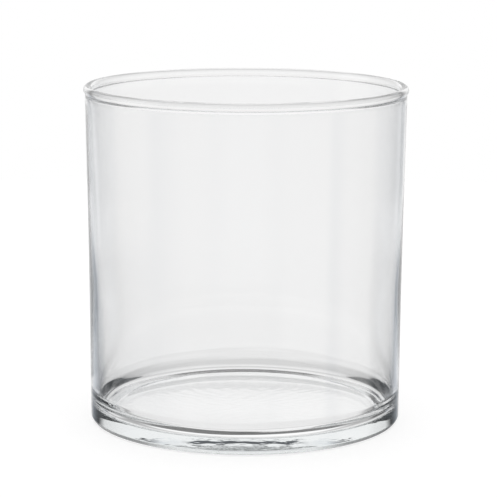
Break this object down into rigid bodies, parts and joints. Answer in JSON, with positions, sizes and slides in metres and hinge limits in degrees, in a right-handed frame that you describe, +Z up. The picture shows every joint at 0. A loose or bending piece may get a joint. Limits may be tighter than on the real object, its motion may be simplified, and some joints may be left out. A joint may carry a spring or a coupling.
{
  "type": "glass cylinder vase",
  "caption": "Clear glass cylinder vase with a rounded rim bead, a wall that thickens towards a heavy rounded foot, a flat inside floor and an open top for water and cut flowers.",
  "frame": {"origin": "on the vase's axis, at the plane it stands on", "axes": "+Z up along the axis of revolution, out of the open mouth; X and Y are equivalent"},
  "size_m": [0.1214, 0.1214, 0.127],
  "materials": {
    "clear_glass": "fire-polished, clear"
  },
  "bodies": {
    "root": {"glass_vase": "clear_glass"}
  },
  "joints": []
}
